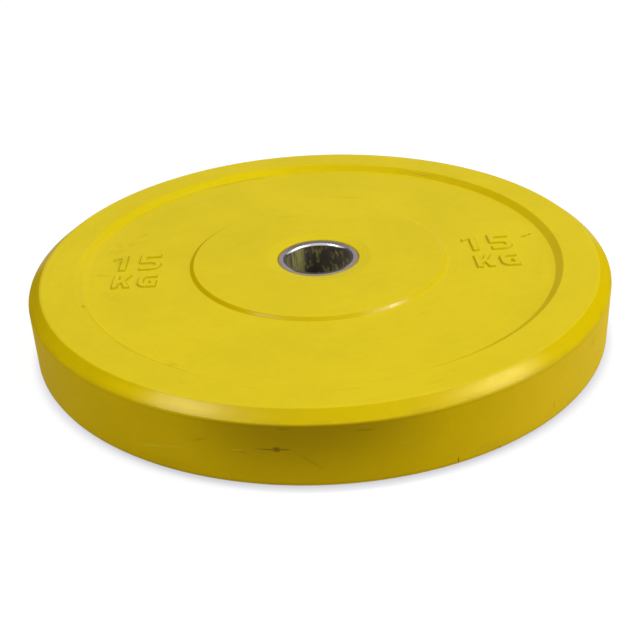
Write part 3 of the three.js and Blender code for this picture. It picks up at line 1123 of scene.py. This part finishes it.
def rubber_body(material):
    room_top = ANCHOR_TOP_Z + BOND_GAP
    smooth, faces = revolve(body_outline(room_top), AROUND_BODY)
    vertices = [uneven(*vertex) for vertex in smooth]

    def add(part_vertices, part_faces):
        start = len(vertices)
        vertices.extend(part_vertices)
        faces.extend(tuple(start + index for index in face) for face in part_faces)

    hole_radius = (ANCHOR_RADIUS - BOND_RADIUS - WELD_LEG) / 2 - ANCHOR_HOLE_MARGIN
    post_top = room_top + POST_OVERLAP
    for index in range(ANCHOR_HOLE_COUNT):
        angle = 2 * math.pi * index / ANCHOR_HOLE_COUNT
        add(*rubber_post(angle, hole_radius - BOND_GAP, 2 * MIDDLE_Z - post_top, post_top))
    for side in (1, -1):
        for middle, turn in MARK_PLACES:
            for outline in mark_outlines():
                add(*raised_character(outline, middle, turn, side))
    piece = mesh_object("plate_rubber", vertices, faces, material)
    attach(piece, "root")
    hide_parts("rubber_body")


def bush(material):
    upper = [
        corner(BUSH_RADIUS, BUSH_TOP_Z - BUSH_OUTER_CHAMFER),
        corner(BUSH_RADIUS - BUSH_OUTER_CHAMFER, BUSH_TOP_Z),
        corner(BORE_RADIUS, BUSH_TOP_Z, BORE_MOUTH_ROUNDING, MOUTH_STEPS),
    ]
    vertices, faces = revolve(round_outline([*mirrored(upper), *upper]), AROUND_BUSH)
    piece = mesh_object("steel_bush", vertices, faces, material)
    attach(piece, "root")
    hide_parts("bush_sleeve")


# Stage. To the camera the floor glows evenly, as a studio's white ground does, and fades to shade under the
# plate, a little further out at the sides. The light that it throws back on the plate is a pale floor's.
FLOOR_RADIUS = 6.0
FLOOR_GLOW_RANGE = about(PLATE_RADIUS, -14, 2)
FLOOR_SHADE_SPREAD = 7 * MM
FLOOR_GLOW_LOW = (0.50, 0.50, 0.56, 1)
FLOOR_GLOW_HIGH = (0.92, 0.92, 0.92, 1)
FLOOR_SEEN_COLOUR = (0.14, 0.14, 0.15, 1)
FLOOR_LIT_COLOUR = (0.56, 0.54, 0.49, 1)
WORLD_FILL = 0.01
WORLD_SEEN = 1.0


def floor():
    nodes = Nodes("floor")
    path = nodes.add("ShaderNodeLightPath").outputs
    seen = nodes.most(path["Is Camera Ray"], path["Is Glossy Ray"], path["Is Transmission Ray"])
    position = nodes.position()
    sideways = nodes.math("POWER", nodes.math("COSINE", nodes.angle(position)), 2.0)
    distance = nodes.less(nodes.radius(position), nodes.times(sideways, FLOOR_SHADE_SPREAD))
    glow = nodes.mix(nodes.span(distance, *FLOOR_GLOW_RANGE), FLOOR_GLOW_LOW, FLOOR_GLOW_HIGH)
    emission = nodes.add("ShaderNodeEmission", {"Color": glow, "Strength": seen})
    colour = nodes.mix(seen, FLOOR_LIT_COLOUR, FLOOR_SEEN_COLOUR)
    diffuse = nodes.add("ShaderNodeBsdfDiffuse", {"Color": colour})
    both = nodes.add("ShaderNodeAddShader", {0: diffuse.outputs[0], 1: emission.outputs[0]})
    corners = [(x * FLOOR_RADIUS, y * FLOOR_RADIUS, 0) for x, y in ((-1, -1), (1, -1), (1, 1), (-1, 1))]
    piece = mesh_object("floor", corners, [(0, 1, 2, 3)], nodes.finish(both.outputs[0]))


def world():
    """White to the camera and in what it sees reflected, and nearly dark as a light."""
    studio = bpy.data.worlds.new("studio")
    studio.use_nodes = True
    tree = studio.node_tree
    path = tree.nodes.new("ShaderNodeLightPath")
    background = tree.nodes["Background"]
    background.inputs["Color"].default_value = (1, 1, 1, 1)
    seen = path.outputs["Is Camera Ray"]
    for name in ("Is Glossy Ray", "Is Transmission Ray"):
        either = tree.nodes.new("ShaderNodeMath")
        either.operation = "MAXIMUM"
        tree.links.new(seen, either.inputs[0])
        tree.links.new(path.outputs[name], either.inputs[1])
        seen = either.outputs[0]
    strength = tree.nodes.new("ShaderNodeMapRange")
    strength.inputs["To Min"].default_value = WORLD_FILL
    strength.inputs["To Max"].default_value = WORLD_SEEN
    tree.links.new(seen, strength.inputs["Value"])
    tree.links.new(strength.outputs[0], background.inputs["Strength"])
    bpy.context.scene.world = studio


# Lamps: azimuth from +X towards +Y and elevation in degrees, distance and size in metres, and radiance
LAMPS = {
    "right_box": (-5, 46.5, 5.0, 1.5, 13.3),
    "right_soft": (-4, 42, 3.0, 2.4, 1.35),
    "left_box": (-162, 54.5, 5.0, 1.6, 18.2),
    "right_low": (-10, 15, 3.0, 1.6, 1.6),
    "front_right": (-45, 25, 3.0, 1.6, 1.2),
}


def lamps():
    for name, (azimuth, elevation, distance, size, radiance) in LAMPS.items():
        data = bpy.data.lights.new(name, "AREA")
        data.shape = "SQUARE"
        data.size = size
        data.energy = radiance * size * size * math.pi
        lamp = bpy.data.objects.new(name, data)
        turn, rise = math.radians(azimuth), math.radians(elevation)
        back = Vector((math.cos(turn) * math.cos(rise), math.sin(turn) * math.cos(rise), math.sin(rise)))
        lamp.location = back * distance
        lamp.rotation_mode = "QUATERNION"
        lamp.rotation_quaternion = (-back).to_track_quat("-Z", "Y")
        bpy.context.scene.collection.objects.link(lamp)


def camera():
    data = bpy.data.cameras.new("camera")
    data.sensor_width = SENSOR_WIDTH
    data.lens = FOCAL_PIXELS / IMAGE_WIDTH * SENSOR_WIDTH
    data.clip_start = CAMERA_CLIP_START
    right = Vector((1, 0, 0))
    up = Vector((0, math.sin(CAMERA_ELEVATION), math.cos(CAMERA_ELEVATION)))
    back = right.cross(up)
    rolled_right = right * math.cos(CAMERA_ROLL) - up * math.sin(CAMERA_ROLL)
    rolled_up = right * math.sin(CAMERA_ROLL) + up * math.cos(CAMERA_ROLL)
    turn = Matrix((rolled_right, rolled_up, back)).transposed()
    piece = bpy.data.objects.new("camera", data)
    piece.matrix_world = Matrix.Translation(CAMERA_PLACE) @ turn.to_4x4()
    bpy.context.scene.collection.objects.link(piece)
    bpy.context.scene.camera = piece


camera()
rubber_body(yellow_rubber())
bush(turned_steel())
frame["nodes"]["anchor_flange"].material_slots[0].material = raw_steel()
bead_metal = weld_metal()
for bead in ("weld_bead_upper", "weld_bead_lower"):
    frame["nodes"][bead].material_slots[0].material = bead_metal
floor()
world()
lamps()
bpy.context.scene.view_settings.view_transform = "Standard"
